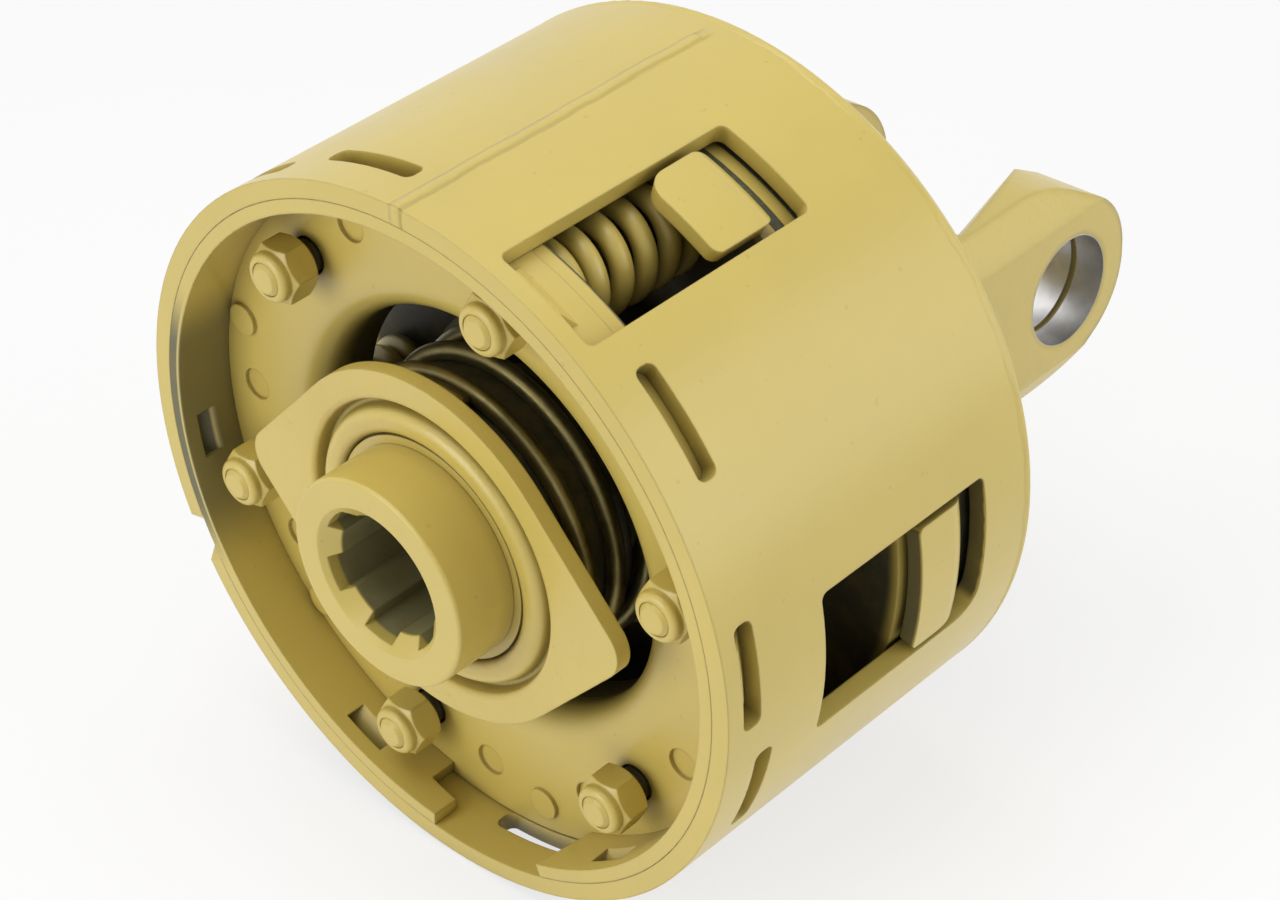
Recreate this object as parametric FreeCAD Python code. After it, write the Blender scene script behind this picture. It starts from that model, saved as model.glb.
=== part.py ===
import FreeCAD, Part
import math
import os
from FreeCAD import Vector

# Friction slip clutch for a farm driveline: a welded drum with a forged yoke drives a splined
# hub through a stack of sprung friction discs, and a sprung collar locks the hub on its shaft.
# Millimetres, +Z up. The clutch axis is Y: the hub opens towards -Y and the yoke points to +Y.
# The origin is the centre of the hub's front face. Angles are measured from +X towards +Z.

# Hub and its spline for a 35 mm, six-tooth shaft
hub_radius = 26.1
hub_chamfer = 0.8
hub_overhang = 14.7
spline_major_radius = 17.5
spline_minor_radius = 15.0
spline_groove_width = 8.7
spline_grooves = 6
spline_angle = 19.6
mouth_radius = 18.8
spline_end_gap = 28.0
shoulder_radius = 30.0
hub_collar_radius = 37.8
hub_collar_thickness = 7.0
plate_spline_radius = 34.0
plate_spline_depth = 3.5
plate_spline_teeth = 8
plate_spline_width = 12.0
plate_spline_clearance = 0.15

# Drum
drum_radius = 90.0
drum_wall = 4.6
drum_length = 108.5
rear_corner = 11.5
seam_angle = 87.7
seam_rise = 0.5
seam_bead_radius = 5.0
seam_length = 92.6
rear_weld_radius = 1.6
rear_weld_inset = 0.8
rear_weld_gap = 0.1
rim_notch_angle = 202.6
rim_notch_depth = 3.7
rim_notch_half = 4.6
rim_notch_floor_half = 1.6

# Windows and slots through the drum, placed from its open rim
lug_window_angle = 62.9
lug_window_half = 8.75
lug_window_front = 4.8
lug_window_rear = 72.6
driver_window_angle = -4.1
driver_window_half = 12.2
driver_window_front = 30.9
driver_window_rear = 85.6
window_corner = 2.0
driver_window_corner = 7.5
slot_half = 8.5
slot_width = 5.4
slot_corner = 2.0
front_slot_angle = 3.7
front_slot_place = 7.4
rear_slot_angle = 40.2
rear_slot_place = 12.4
slots_in_row = 6

# Rear flange welded into the drum
flange_thickness = 17.5
flange_spigot = 10.0
flange_fit = 0.1
recess_radius = 42.0
recess_depth = 13.0

# Yoke
yoke_half_width = 47.06
yoke_swing_radius = 51.0
yoke_root_half = 36.0
yoke_shoulder_round = 12.0
yoke_gap_half = 28.0
cross_bore_radius = 14.3
cross_bore_reach = 65.0
ear_tip_reach = 22.2
ear_half = 27.5
ear_tip_half = 13.1
ear_offset = 2.0
ear_taper_start = 2.8
ear_shoulder_round = 34.0
ear_end_round = 21.5
ear_bevel_foot = 40.5
ear_bevel_top = 29.5
ear_bevel_slope = 1.375
ear_bevel_rise = 0.377
web_half = 12.0
yoke_throat = 34.0
yoke_throat_corner = 22.0
boss_radius = 45.0
boss_length = 16.0
clip_groove_inset = 8.9
clip_groove_width = 1.7
clip_groove_depth = 0.9

# Friction stack, from the flange forwards
lining_thickness = 3.5
inner_plate_thickness = 3.5
driver_plate_thickness = 4.0
pressure_plate_thickness = 4.0
lining_outer_radius = 83.5
lining_inner_radius = 56.0
disc_radius = 84.4
disc_inner_radius = 50.0
inner_plate_radius = 83.8

# Lugs bent forwards from the pressure and driver plates
lug_wall = 4.0
lug_bend = 6.2
plain_corner = 1.5
pressure_lug_half = 7.3
pressure_lug_length = 16.8
pressure_lug_corners = (2.5, 6.0, 6.0, 5.5)
driver_lug_half = 10.9
driver_lug_length = 13.2
driver_lug_corners = (plain_corner, plain_corner, 0.5, 9.0)

# Setting ring
ring_width = 15.3
ring_wall = 3.4
ring_fit = 0.1
ring_tab_angle = 4.4
ring_tab_half = 5.7
ring_tab_crest_half = 4.2
ring_tab_front = 5.1
ring_tab_rear = 9.9
ring_tab_rise = 4.0
ring_slit_width = 1.2
ring_gap_start = 264.7
ring_gap_step = 258.4
ring_gap_end = 288.7
ring_gap_slant = 3.0
ring_step_depth = 7.0

# Front plate
front_plate_thickness = 3.8
front_plate_radius = 85.1
opening_radius = 51.0
opening_bend = 7.0
opening_lip = 3.0
pip_radius = 4.1
pip_height = 1.0
sunk_pip_circle = 72.3
sunk_pip_offset = 16.5
raised_pip_circle = 77.0

# Studs, nuts and springs
stud_count = 6
stud_angle = 11.2
stud_circle = 69.5
stud_radius = 4.1
stud_front = 1.4
stud_end_gap = 0.4
stud_chamfer = 1.0
stud_clearance = 0.7
nut_across_flats = 13.4
nut_front = 4.6
nut_length = 7.4
nut_collar_radius = 6.1
nut_collar_length = 2.4
nut_chamfer = 1.0
nut_collar_round = 1.5
nut_face_inset = 0.3
insert_wall = 1.0
insert_inset = 0.5
insert_length = 1.9
thread_clearance = 0.05
spring_radius = 10.15
spring_wire_radius = 2.6
spring_turns = 5.75
wire_sides = 8
spring_steps = 12
spring_first_angle = 104.0

# Pull collar, its spring and the locking balls
collar_front = 1.2
collar_thickness = 4.0
collar_plate_radius = 44.5
collar_tip_radius = 8.0
collar_tip_centre = 49.5
collar_angle = -2.6
collar_sleeve_radius = 34.4
collar_groove_radius = 35.7
collar_groove_bottom = 6.6
collar_bead_inner = 28.4
collar_bead_outer = 34.2
collar_bead_rise = 0.2
collar_valley_wall = 1.6
collar_sheet = 1.6
collar_lip_width = 1.7
collar_relief_radius = 29.4
collar_length = 29.8
collar_travel = 9.0
collar_running_fit = 0.1
snap_ring_radius = 28.1
snap_ring_thickness = 1.6
snap_ring_front = 2.0
snap_groove_depth = 1.2
snap_groove_fit = 0.05
snap_ring_angle = 200.0
snap_ring_gap = 26.0
ball_radius = 5.5
ball_place = 20.0
ball_count = 3
ball_lift = 2.4
ball_clearance = 0.1
ball_lock_depth = 2.35
ramp_lead = 2.0
collar_spring_clearance = 0.4
collar_spring_wire_radius = 2.3
collar_spring_turns = 4.0
collar_spring_first_angle = 80.0
collar_spring_gap = 0.15
collar_spring_steps = 28
seat_place = 42.0
seat_thickness = 1.8
seat_radius = 41.0

# Hub bearing in the flange
bush_fit = 0.05
bush_inset = 0.3
thrust_washer_thickness = 1.0
thrust_washer_inset = 1.0
thrust_washer_bore_gap = 2.0
bearing_play = 0.1
circlip_thickness = 1.8
circlip_outer_radius = 43.5
circlip_inner_radius = 37.0
circlip_gap = 24.0
circlip_place = 2.3
circlip_clearance = 0.1

cut_through = 60.0

rim = hub_overhang
drum_inner_radius = drum_radius - drum_wall
flange_rear = rim + drum_length
flange_face = flange_rear - flange_thickness
drum_end = flange_face + flange_spigot
rear_lining_front = flange_face - lining_thickness
rear_plate_front = rear_lining_front - inner_plate_thickness
middle_rear_lining_front = rear_plate_front - lining_thickness
driver_plate_front = middle_rear_lining_front - driver_plate_thickness
middle_front_lining_front = driver_plate_front - lining_thickness
front_inner_plate_front = middle_front_lining_front - inner_plate_thickness
front_lining_front = front_inner_plate_front - lining_thickness
pressure_plate_front = front_lining_front - pressure_plate_thickness
front_plate_front = rim + ring_width
front_plate_rear = front_plate_front + front_plate_thickness
cross_bore_place = flange_rear + cross_bore_reach
recess_floor = flange_face + recess_depth
hub_rear = recess_floor - thrust_washer_thickness - bearing_play
sleeve_bore_radius = hub_radius + collar_running_fit
collar_spring_radius = collar_sleeve_radius + collar_spring_wire_radius + collar_spring_clearance


def turned(shape, angle):
    """Copy of a shape turned about the clutch axis, from +X towards +Z."""
    copy = shape.copy()
    copy.rotate(Vector(0, 0, 0), Vector(0, -1, 0), angle)
    return copy


def polar(radius, place, angle):
    """Point at a radius and angle about the clutch axis."""
    turn = math.radians(angle)
    return Vector(radius * math.cos(turn), place, radius * math.sin(turn))


def fused(shapes):
    """One solid made of several touching ones, with no seams left on shared faces."""
    whole = shapes[0].multiFuse(shapes[1:])
    return whole.removeSplitter()


def disc(radius, start, end):
    """Solid disc or shaft on the clutch axis between two places along it."""
    return Part.makeCylinder(radius, end - start, Vector(0, start, 0), Vector(0, 1, 0))


def ring(outer, inner, start, end):
    """Flat ring on the clutch axis."""
    return disc(outer, start, end).cut(disc(inner, start - 1, end + 1))


def flat_point(u, v):
    """Point of an outline that lies in the XY plane."""
    return Vector(u, v, 0)


def outline(corners, place=flat_point):
    """Closed wire through corners given as (u, v, rounding radius), with tangent arcs.

    The place function turns a flat point into a point in space.
    """
    flat = [Vector(corner[0], corner[1], 0) for corner in corners]
    ends = []
    for index, corner in enumerate(corners):
        here = flat[index]
        back = (flat[index - 1] - here).normalize()
        ahead = (flat[(index + 1) % len(flat)] - here).normalize()
        half = back.getAngle(ahead) / 2
        radius = corner[2] if len(corner) > 2 else 0
        reach = radius / math.tan(half)
        if radius:
            middle = (back + ahead).normalize()
            crest = here + middle * (radius / math.sin(half) - radius)
        else:
            crest = here
        ends.append((here + back * reach, crest, here + ahead * reach, radius))
    edges = []
    for index, (start, crest, end, radius) in enumerate(ends):
        if radius:
            points = [place(point.x, point.y) for point in (start, crest, end)]
            edges.append(Part.Arc(*points).toShape())
        following = ends[(index + 1) % len(ends)][0]
        if (following - end).Length > 0.001:
            edges.append(Part.makeLine(place(end.x, end.y), place(following.x, following.y)))
    return Part.Wire(edges)


def revolved(corners, sweep=360.0):
    """Solid of revolution about the clutch axis from corners given as (radius, place, rounding)."""
    face = Part.Face(outline(corners))
    return face.revolve(Vector(0, 0, 0), Vector(0, -1, 0), sweep)


def radial_block(centre, corners, near, far):
    """Solid that fans out from the clutch axis, with an outline in (angle, place, rounding)."""
    sections = []
    for distance in (near, far):
        flat = [(distance * math.tan(math.radians(corner[0])),) + tuple(corner[1:])
                for corner in corners]
        sections.append(outline(flat, lambda u, v, d=distance: Vector(d, v, u)))
    return turned(Part.makeLoft(sections, True, True), centre)


def window_corners(half, front, rear, corner, low_rear_corner=None):
    """Outline of a window that lies evenly about its centre angle."""
    last = corner if low_rear_corner is None else low_rear_corner
    return [(-half, front, corner), (half, front, corner), (half, rear, corner), (-half, rear, last)]


def opposite(shape):
    """Both of a pair of equal shapes that face each other across the clutch axis."""
    return [shape, turned(shape, 180)]


def coil(mean_radius, wire_radius, start, end, turns, first_angle, coil_steps):
    """Compression spring with closed ends, as short straight runs round a helix."""
    closed_rise = 2 * wire_radius * 1.05
    low = start + wire_radius
    high = end - wire_radius
    open_rise = (high - low - 2 * closed_rise) / (turns - 2)
    steps = int(round(turns * coil_steps))
    points = []
    for step in range(steps + 1):
        turn = turns * step / steps
        if turn < 1:
            place = low + closed_rise * turn
        elif turn < turns - 1:
            place = low + closed_rise + open_rise * (turn - 1)
        else:
            place = high - closed_rise * (turns - turn)
        points.append(polar(mean_radius, place, first_angle + 360 * turn))
    forward = (points[1] - points[0]).normalize()
    outward = Vector(points[0].x, 0, points[0].z).normalize()
    upward = forward.cross(outward)
    rim_points = []
    for side in range(wire_sides):
        angle = math.radians(360 * (side + 0.5) / wire_sides)
        offset = outward * math.cos(angle) + upward * math.sin(angle)
        rim_points.append(points[0] + offset * wire_radius)
    section = Part.makePolygon(rim_points + rim_points[:1])
    corners_mitred = 1
    return Part.makePolygon(points).makePipeShell([section], True, False, corners_mitred)


def make_drum_shell():
    """Rolled and welded sheet drum with windows for the lugs and slots for the setting ring."""
    shell = ring(drum_radius, drum_inner_radius, rim, drum_end)
    bead_centre = drum_radius + seam_rise - seam_bead_radius
    seam = Part.makeCylinder(seam_bead_radius, seam_length, Vector(bead_centre, rim, 0), Vector(0, 1, 0))
    seam = turned(seam, seam_angle).cut(disc(drum_inner_radius + 1, rim - 1, drum_end))
    shell = fused([shell, seam, rear_weld()])
    near = drum_inner_radius - 2 * drum_wall
    far = drum_radius + drum_wall
    lug_window = window_corners(
        lug_window_half, rim + lug_window_front, rim + lug_window_rear, window_corner)
    driver_window = window_corners(
        driver_window_half, rim + driver_window_front, rim + driver_window_rear, window_corner,
        driver_window_corner)
    cutters = opposite(radial_block(lug_window_angle, lug_window, near, far))
    cutters += opposite(radial_block(driver_window_angle, driver_window, near, far))
    for number in range(slots_in_row):
        turn = number * 360 / slots_in_row
        in_lug_window = number % 3 == 1
        if not in_lug_window:
            cutters.append(radial_block(front_slot_angle + turn, slot_corners(front_slot_place), near, far))
        cutters.append(radial_block(rear_slot_angle + turn, slot_corners(rear_slot_place), near, far))
    notch_floor = rim + rim_notch_depth
    notch = [(-rim_notch_half, rim - 1), (rim_notch_half, rim - 1),
             (rim_notch_floor_half, notch_floor), (-rim_notch_floor_half, notch_floor)]
    cutters.append(radial_block(rim_notch_angle, notch, near, far))
    return shell.cut(cutters)


def slot_corners(place):
    """Outline of one slot for the setting ring's tabs."""
    return window_corners(
        slot_half, rim + place - slot_width / 2, rim + place + slot_width / 2, slot_corner)


def flange_shoulder():
    """Radius of the rear flange's rounded edge where the drum ends on it."""
    drop = drum_end - (flange_rear - rear_corner)
    return drum_radius - rear_corner + math.sqrt(rear_corner ** 2 - drop ** 2)


def rear_weld():
    """Weld bead that joins the drum to its rear flange, on the outside of both."""
    bead = Part.makeTorus(
        flange_shoulder() - rear_weld_inset, rear_weld_radius, Vector(0, drum_end, 0), Vector(0, 1, 0))
    bead = bead.cut(flange_rim(rear_weld_gap))
    return bead.cut(disc(drum_inner_radius + 1, rim, flange_rear))


def flange_rim(grown=0.0):
    """Rear flange's disc behind the drum, with its rounded corner, grown by a gap."""
    front = flange_rear - 2 * rear_corner
    rounded = revolved([
        (0, front),
        (drum_radius + grown, front),
        (drum_radius + grown, flange_rear + grown, rear_corner + grown),
        (0, flange_rear + grown)])
    return rounded.common(disc(flange_shoulder() + grown, drum_end, flange_rear + grown))


def flange_blank():
    """Outer form of the rear flange: a spigot inside the drum and a rounded rear corner."""
    spigot = disc(drum_inner_radius - flange_fit, flange_face, drum_end)
    return fused([spigot, flange_rim()])


def make_rear_flange():
    """Forged end of the drum: friction face, hub recess and the circlip's groove."""
    groove_start = flange_face + circlip_place - circlip_clearance
    groove_end = groove_start + circlip_thickness + 2 * circlip_clearance
    recess = disc(recess_radius, flange_face - 1, recess_floor)
    groove = disc(circlip_outer_radius + circlip_clearance, groove_start, groove_end)
    return flange_blank().cut(fused([recess, groove]))


def make_yoke():
    """Forged yoke with two ears, a bored seat for the cross bearings and a round welded boss."""
    tip = cross_bore_place + ear_tip_reach
    throat = cross_bore_place - yoke_throat
    shoulder = throat - boss_length / 2
    past_tip = tip + 1
    plan = Part.Face(outline([
        (-yoke_root_half, flange_rear),
        (-yoke_half_width, shoulder, yoke_shoulder_round),
        (-yoke_half_width, past_tip),
        (-yoke_gap_half, past_tip),
        (-yoke_gap_half, throat, yoke_throat_corner),
        (yoke_gap_half, throat, yoke_throat_corner),
        (yoke_gap_half, past_tip),
        (yoke_half_width, past_tip),
        (yoke_half_width, shoulder, yoke_shoulder_round),
        (yoke_root_half, flange_rear)],
        lambda u, v: Vector(u, v, -cut_through))).extrude(Vector(0, 0, 2 * cut_through))
    taper_place = cross_bore_place - ear_taper_start
    side = Part.Face(outline([
        (flange_rear, ear_offset - ear_half),
        (taper_place, ear_offset - ear_half, ear_shoulder_round),
        (tip, ear_offset - ear_tip_half, ear_end_round),
        (tip, ear_offset + ear_tip_half, ear_end_round),
        (taper_place, ear_offset + ear_half, ear_shoulder_round),
        (flange_rear, ear_offset + ear_half)],
        lambda u, v: Vector(-cut_through, u, v))).extrude(Vector(2 * cut_through, 0, 0))
    swing = disc(yoke_swing_radius, flange_rear, past_tip)
    fork = plan.common(side).common(swing)
    web = Part.makeBox(
        2 * cut_through, 2 * cut_through, 2 * web_half, Vector(-cut_through, flange_rear, -web_half))
    fork = fused([fork.cut(ear_bevels(throat)), fork.common(web)])
    boss = revolved([
        (0, flange_rear),
        (boss_radius + 3, flange_rear),
        (boss_radius - 3, flange_rear + 6, 3),
        (boss_radius - 8, flange_rear + boss_length, 6),
        (0, flange_rear + boss_length)])
    body = fused([fork, boss])
    bore = Part.makeCylinder(
        cross_bore_radius, 2 * cut_through, Vector(-cut_through, cross_bore_place, 0), Vector(1, 0, 0))
    body = body.cut(bore)
    for side_sign in (-1, 1):
        groove_middle = side_sign * (yoke_half_width - clip_groove_inset)
        groove = Part.makeCylinder(
            cross_bore_radius + clip_groove_depth, clip_groove_width,
            Vector(groove_middle - clip_groove_width / 2, cross_bore_place, 0), Vector(1, 0, 0))
        body = body.cut(groove)
    return body


def ear_bevels(throat):
    """Wedges that slope the four inner edges of the yoke's ears, deeper towards the throat."""
    beyond = ear_bevel_foot + 2
    run = 2 * cut_through
    bevels = []
    for side in (-1, 1):
        for updown in (-1, 1):
            wedge = Part.makePolygon([
                Vector(side * beyond, throat, updown * (ear_bevel_top + 2 * ear_bevel_slope)),
                Vector(0, throat, updown * (ear_bevel_top - ear_bevel_foot * ear_bevel_slope)),
                Vector(0, throat, updown * run),
                Vector(side * beyond, throat, updown * run),
                Vector(side * beyond, throat, updown * (ear_bevel_top + 2 * ear_bevel_slope))])
            bevels.append(Part.Face(wedge).extrude(Vector(0, run, updown * run * ear_bevel_rise)))
    return bevels


def lugged_plate(front, rear, outer, inner, first_angle, half, length, corners):
    """Flat ring with two opposite lugs bent forwards through the drum's windows.

    The corners are the rounding radii of a lug's low front, high front, high rear and low rear.
    """
    plate = ring(outer, inner, front, rear)
    lug_rear = rear
    lug_front = front - length
    inner_face = drum_radius - lug_wall
    wedge = revolved([
        (outer - 4, front),
        (inner_face, front, lug_bend - lug_wall),
        (inner_face, lug_front),
        (drum_radius, lug_front),
        (drum_radius, lug_rear, lug_bend),
        (outer - 4, lug_rear)], 2 * half + 4)
    wedge = turned(wedge, -half - 2)
    shape = radial_block(0, [
        (-half, lug_front, corners[0]),
        (half, lug_front, corners[1]),
        (half, lug_rear + 2, 0),
        (-half, lug_rear + 2, 0)], outer - 8, drum_radius + 4)
    lug = wedge.common(shape)
    rounding = radial_block(0, [
        (-half, lug_front - 2, 0),
        (half, lug_front - 2, 0),
        (half, lug_rear, corners[2]),
        (-half, lug_rear, corners[3])], outer - 8, drum_radius + 4)
    seat = disc(outer - 0.5, lug_front - 2, lug_rear + 2)
    lug = lug.common(fused([rounding, seat]))
    return fused([plate] + opposite(turned(lug, first_angle)))


def make_pressure_plate():
    """Plate that the springs push on the friction stack, with lugs in the long windows."""
    plate = lugged_plate(
        pressure_plate_front, front_lining_front, disc_radius, disc_inner_radius,
        lug_window_angle, pressure_lug_half, pressure_lug_length, pressure_lug_corners)
    holes = [stud_hole(angle, pressure_plate_front, front_lining_front, thread_clearance)
             for angle in stud_angles()]
    return plate.cut(holes)


def make_driver_plate():
    """Plate between the two hub plates, turned by the drum through its lugs."""
    return lugged_plate(
        driver_plate_front, middle_rear_lining_front, disc_radius, disc_inner_radius,
        driver_window_angle, driver_lug_half, driver_lug_length, driver_lug_corners)


def hub_spline_blank(clearance, start, end):
    """Straight-sided teeth that carry the inner plates, grown all round by a clearance."""
    root = disc(plate_spline_radius - plate_spline_depth + clearance, start, end)
    bars = []
    for tooth in range(plate_spline_teeth // 2):
        bar = Part.makeBox(
            2 * plate_spline_radius + 10, end - start, plate_spline_width + 2 * clearance,
            Vector(-plate_spline_radius - 5, start, -plate_spline_width / 2 - clearance))
        bars.append(turned(bar, spline_angle + tooth * 360 / plate_spline_teeth))
    teeth = fused(bars).common(disc(plate_spline_radius + clearance, start, end))
    return fused([root, teeth])


def make_inner_plate(front):
    """Steel disc that the hub turns, with a toothed hole."""
    rear = front + inner_plate_thickness
    splines = hub_spline_blank(plate_spline_clearance, front - 1, rear + 1)
    return disc(inner_plate_radius, front, rear).cut(splines)


def make_hub():
    """Hub with the shaft spline, ball holes, snap ring groove and the plates' teeth."""
    spline_start = pressure_plate_front
    spline_end = flange_face
    collar_start = hub_rear - hub_collar_thickness
    tube = revolved([
        (0, 0),
        (hub_radius, 0, hub_chamfer),
        (hub_radius, rim + seat_place + seat_thickness, 0),
        (shoulder_radius, rim + seat_place + seat_thickness, 0),
        (shoulder_radius, collar_start, 0),
        (hub_collar_radius, collar_start, 1),
        (hub_collar_radius, hub_rear, 1),
        (0, hub_rear)])
    body = fused([tube, hub_spline_blank(0, spline_start, spline_end)])
    mouth = Part.makeCone(
        mouth_radius + 1, spline_minor_radius, mouth_radius + 1 - spline_minor_radius,
        Vector(0, -1, 0), Vector(0, 1, 0))
    bore = disc(spline_minor_radius, -1, hub_rear + 1)
    relief = disc(spline_major_radius + 0.5, hub_rear - spline_end_gap, hub_rear + 1)
    bars = []
    for groove in range(spline_grooves // 2):
        bar = Part.makeBox(
            2 * spline_major_radius + 10, hub_rear + 2, spline_groove_width,
            Vector(-spline_major_radius - 5, -1, -spline_groove_width / 2))
        bars.append(turned(bar, spline_angle + groove * 360 / spline_grooves))
    grooves = fused(bars).common(disc(spline_major_radius, -1, hub_rear + 1))
    body = body.cut(fused([bore, grooves, relief]))
    body = body.cut(mouth)
    snap_start = rim + snap_ring_front - snap_groove_fit
    snap_groove = ring(
        hub_radius + 1, hub_radius - snap_groove_depth, snap_start,
        snap_start + snap_ring_thickness + 2 * snap_groove_fit)
    body = body.cut(snap_groove)
    return body.cut([ball_hole(angle) for angle in ball_angles()])


def ball_angles():
    """Angles of the locking balls, over every second groove of the spline."""
    return [spline_angle + ball * 360 / ball_count for ball in range(ball_count)]


def ball_centre_radius():
    """Distance of a locked ball's centre from the axis, set by how far it dips into the shaft."""
    return spline_major_radius - ball_lock_depth + ball_radius


def ball_hole(angle):
    """Radial hole for a locking ball, with a round seat at its inner end so that the ball stays in."""
    centre = Vector(ball_centre_radius(), rim + ball_place, 0)
    hole_radius = ball_radius + ball_clearance
    seat = Part.makeSphere(hole_radius, centre)
    outer = Part.makeCylinder(hole_radius, hub_radius, centre, Vector(1, 0, 0))
    return turned(fused([seat, outer]), angle)


def make_locking_ball(angle):
    """Hardened ball that drops into the groove round the tractor's shaft."""
    return Part.makeSphere(ball_radius, polar(ball_centre_radius(), rim + ball_place, angle))


def make_pull_collar():
    """Sliding collar: a two-tipped grip plate drawn into a beaded sleeve with a ball ramp."""
    front = rim + collar_front
    plate_rear = front + collar_thickness
    lip_front = rim + snap_ring_front + snap_ring_thickness
    lip_rear = lip_front + collar_lip_width
    ramp_end = rim + ball_place + ramp_lead
    ramp_length = (collar_relief_radius - sleeve_bore_radius) * collar_travel / ball_lift
    sleeve_end = front + collar_length
    groove_floor = rim + collar_groove_bottom
    sleeve = revolved([
        (sleeve_bore_radius, lip_front),
        (collar_bead_inner, lip_front),
        (collar_bead_inner, front - collar_bead_rise, 2.2),
        (collar_bead_outer, front - collar_bead_rise, 3.0),
        (collar_groove_radius, groove_floor, 0.6),
        (collar_groove_radius + collar_valley_wall, front, 1.5),
        (collar_plate_radius - 1, front),
        (collar_plate_radius - 1, plate_rear),
        (collar_groove_radius + 4, plate_rear, 0.6),
        (collar_groove_radius + 1.2, groove_floor + collar_sheet, 0.8),
        (collar_sleeve_radius, groove_floor + collar_sheet),
        (collar_sleeve_radius, sleeve_end, 0.8),
        (sleeve_bore_radius, sleeve_end),
        (sleeve_bore_radius, ramp_end),
        (collar_relief_radius, ramp_end - ramp_length),
        (collar_relief_radius, lip_rear),
        (sleeve_bore_radius, lip_rear)])
    grip = grip_plate(front, plate_rear).cut(disc(collar_plate_radius - 1, front - 1, plate_rear + 1))
    return fused([sleeve, grip])


def grip_plate(front, rear):
    """Lozenge plate: a round middle with a tangent taper to a small round tip on each side."""
    drop = math.acos((collar_plate_radius - collar_tip_radius) / collar_tip_centre)
    tip = (collar_tip_centre, 0)
    points = []
    for quarter, (side, updown) in enumerate(((1, 1), (-1, 1), (-1, -1), (1, -1))):
        body = (side * collar_plate_radius * math.cos(drop), updown * collar_plate_radius * math.sin(drop))
        nose = (side * (tip[0] + collar_tip_radius * math.cos(drop)),
                updown * collar_tip_radius * math.sin(drop))
        points.append((nose, body) if quarter % 2 == 0 else (body, nose))

    def place(point):
        return Vector(point[0], front, point[1])

    right_tip = place((tip[0] + collar_tip_radius, 0))
    left_tip = place((-tip[0] - collar_tip_radius, 0))
    top = place((0, collar_plate_radius))
    bottom = place((0, -collar_plate_radius))
    edges = [
        Part.makeLine(place(points[0][0]), place(points[0][1])),
        Part.Arc(place(points[0][1]), top, place(points[1][0])).toShape(),
        Part.makeLine(place(points[1][0]), place(points[1][1])),
        Part.Arc(place(points[1][1]), left_tip, place(points[2][0])).toShape(),
        Part.makeLine(place(points[2][0]), place(points[2][1])),
        Part.Arc(place(points[2][1]), bottom, place(points[3][0])).toShape(),
        Part.makeLine(place(points[3][0]), place(points[3][1])),
        Part.Arc(place(points[3][1]), right_tip, place(points[0][0])).toShape()]
    plate = Part.Face(Part.Wire(edges)).extrude(Vector(0, rear - front, 0))
    return turned(plate, collar_angle)


def open_ring(outer, inner, start, end, gap, centre):
    """Spring ring with a gap."""
    half = gap / 2
    opening = radial_block(centre, [
        (-half, start - 1, 0), (half, start - 1, 0), (half, end + 1, 0), (-half, end + 1, 0)],
        inner * 0.8, outer * 1.2)
    return ring(outer, inner, start, end).cut(opening)


def make_snap_ring():
    """Ring in the hub's groove that stops the collar."""
    start = rim + snap_ring_front
    inner = hub_radius - snap_groove_depth + snap_groove_fit
    return open_ring(
        snap_ring_radius, inner, start, start + snap_ring_thickness, snap_ring_gap, snap_ring_angle)


def make_collar_spring():
    """Light spring that holds the collar forwards."""
    start = rim + collar_groove_bottom + collar_sheet + collar_spring_gap
    end = rim + seat_place
    return coil(collar_spring_radius, collar_spring_wire_radius, start, end, collar_spring_turns,
                collar_spring_first_angle, collar_spring_steps)


def make_spring_seat():
    """Washer on the hub's shoulder behind the collar spring."""
    start = rim + seat_place
    return ring(seat_radius, hub_radius + collar_running_fit, start, start + seat_thickness)


def make_setting_ring():
    """Open ring inside the rim: its pressed-out tabs sit in one row of slots and set the springs."""
    outer = drum_inner_radius - ring_fit
    inner = outer - ring_wall
    end = rim + ring_width
    band = ring(outer, inner, rim, end)
    middle = (ring_gap_start + ring_gap_end) / 2
    left = ring_gap_start - middle
    step = ring_gap_step - middle
    right = ring_gap_end - middle
    step_place = rim + ring_step_depth
    gap = radial_block(middle, [
        (left, rim - 1), (right, rim - 1), (right + ring_gap_slant, end + 1), (step, end + 1),
        (step, step_place + 1), (left, step_place)], inner * 0.85, outer + 2)
    band = band.cut(gap)
    crests = []
    hollows = []
    for number in range(slots_in_row):
        angle = ring_tab_angle + number * 360 / slots_in_row
        crest, hollow = ring_louvre(outer, inner)
        crests.append(turned(crest, angle))
        hollows.append(turned(hollow, angle))
    return fused([band] + crests).cut(hollows)


def ring_louvre(outer, inner):
    """Outer form and hollow of one tab, slit along its front edge and pressed outwards."""
    front = rim + ring_tab_front
    rear = rim + ring_tab_rear
    crest_radius = outer + ring_tab_rise
    crest = revolved([
        (inner, front), (crest_radius, front), (crest_radius, front + 0.5), (outer, rear), (inner, rear)],
        2 * ring_tab_half + 2)
    crest = turned(crest, -ring_tab_half - 1)
    tapered = tapered_block(
        ring_tab_half, ring_tab_crest_half, front - 1, rear + 1, outer, crest_radius)
    crest = crest.common(tapered)
    slit_front = front - ring_slit_width
    hollow = revolved([
        (inner - 1, slit_front), (outer + 1, slit_front), (outer + 1, front),
        (crest_radius - ring_wall, front), (inner, rear - 0.5), (inner - 1, rear - 0.5)],
        2 * ring_tab_crest_half)
    return crest, turned(hollow, -ring_tab_crest_half)


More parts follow.
